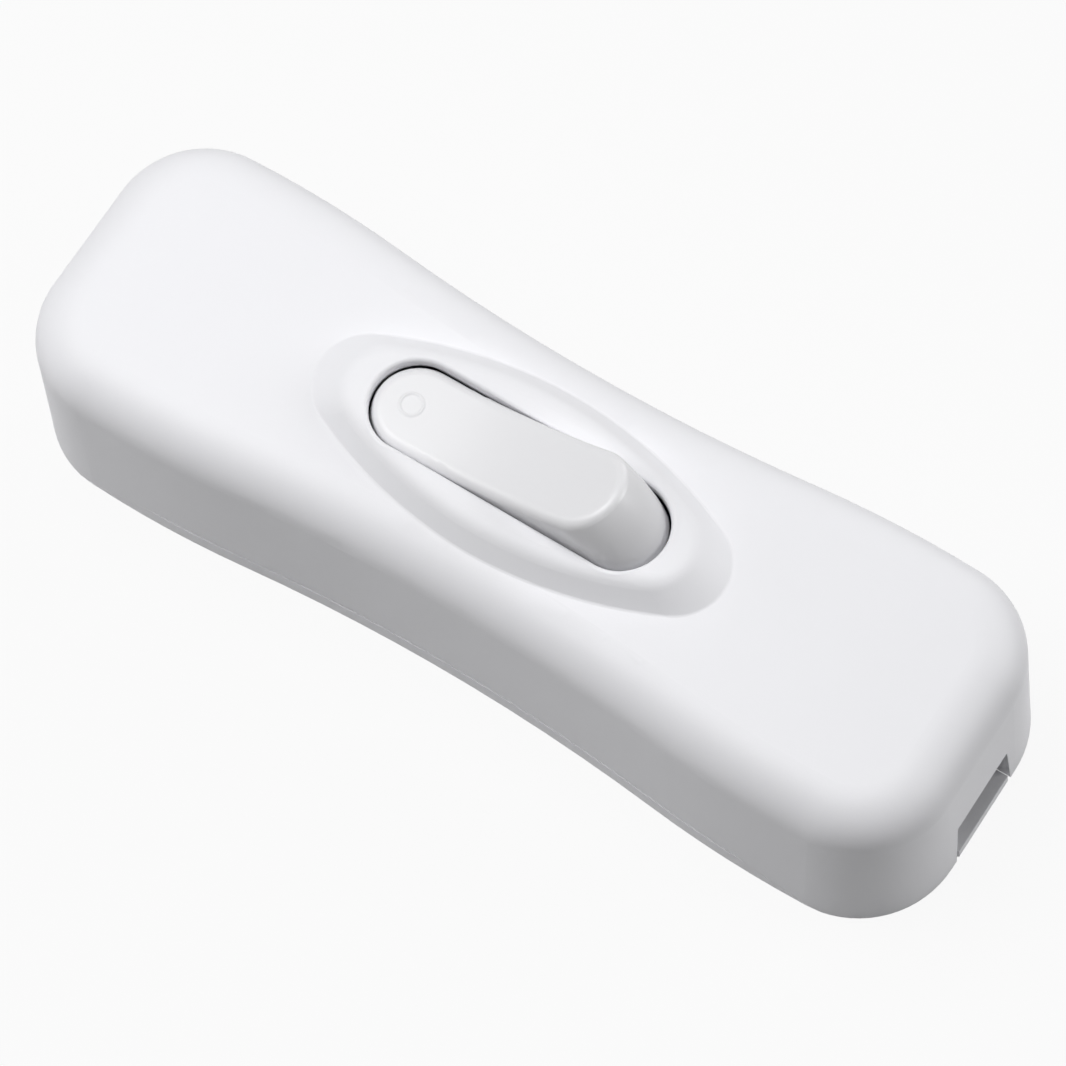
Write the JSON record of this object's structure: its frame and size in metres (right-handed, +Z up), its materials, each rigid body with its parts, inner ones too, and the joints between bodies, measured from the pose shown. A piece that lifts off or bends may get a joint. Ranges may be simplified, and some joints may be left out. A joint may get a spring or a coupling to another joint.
{
  "type": "inline cord switch",
  "caption": "Waisted white inline cord switch with a rocker in a raised oval, a cord inlet slot at each end and a two-pole see-saw contact mechanism inside.",
  "frame": {"origin": "centre of the flat underside of the base", "axes": "+X along the switch towards the end where the rocker stands up at rest, +Y across, +Z up"},
  "size_m": [0.07, 0.0224, 0.0204],
  "materials": {
    "casing_plastic": "fine spark-eroded matt white moulding",
    "rocker_plastic": "polished white moulding",
    "clamp_plastic": "plain white moulding",
    "plunger_plastic": "natural nylon",
    "spring_steel": "drawn spring wire",
    "contact_brass": "stamped strip",
    "contact_silver": "silver alloy rivet",
    "screw_steel": "bright zinc plated"
  },
  "bodies": {
    "casing": {"top_cover": "casing_plastic", "base_cover": "casing_plastic", "terminal_screws": "screw_steel", "terminal_clamp_plates": "contact_brass", "cord_clamp_front": "clamp_plastic", "cord_clamp_rear": "clamp_plastic", "cord_clamp_screws": "screw_steel", "case_screws": "screw_steel", "fixed_contact_left": "contact_silver", "common_plate_left": "contact_brass", "switched_plate_left": "contact_brass", "fixed_contact_right": "contact_silver", "common_plate_right": "contact_brass", "switched_plate_right": "contact_brass"},
    "rocker": {"rocker": "rocker_plastic", "plunger_spring_left": "spring_steel", "plunger_spring_right": "spring_steel"},
    "plunger_left": {"plunger_left": "plunger_plastic"},
    "plunger_right": {"plunger_right": "plunger_plastic"},
    "seesaw_left": {"contact_seesaw_left": "contact_brass", "moving_contact_left": "contact_silver"},
    "seesaw_right": {"contact_seesaw_right": "contact_brass", "moving_contact_right": "contact_silver"}
  },
  "joints": [
    {"name": "rocker_pivot", "type": "hinge", "parent": "casing", "child": "rocker", "pos_m": [0, 0, 0.0122], "axis": [0, 1, 0], "range_deg": [0, 28]},
    {"name": "plunger_left_slide", "type": "slide", "parent": "rocker", "child": "plunger_left", "axis": [-0.2419, 0, 0.9703], "range_m": [0, 0.0005], "stiffness_N_per_m": 150, "deforming": ["plunger_spring_left"]},
    {"name": "seesaw_left_tilt", "type": "hinge", "parent": "casing", "child": "seesaw_left", "pos_m": [0, 0.0028, 0.0064], "axis": [0, 1, 0], "range_deg": [-17, 0]},
    {"name": "plunger_right_slide", "type": "slide", "parent": "rocker", "child": "plunger_right", "axis": [-0.2419, 0, 0.9703], "range_m": [0, 0.0005], "stiffness_N_per_m": 150, "deforming": ["plunger_spring_right"]},
    {"name": "seesaw_right_tilt", "type": "hinge", "parent": "casing", "child": "seesaw_right", "pos_m": [0, -0.0028, 0.0064], "axis": [0, 1, 0], "range_deg": [-17, 0]}
  ],
  "couplings": [
    {"joint": "seesaw_left_tilt", "follows": "rocker_pivot", "ratio": -0.60714},
    {"joint": "seesaw_right_tilt", "follows": "rocker_pivot", "ratio": -0.60714}
  ]
}
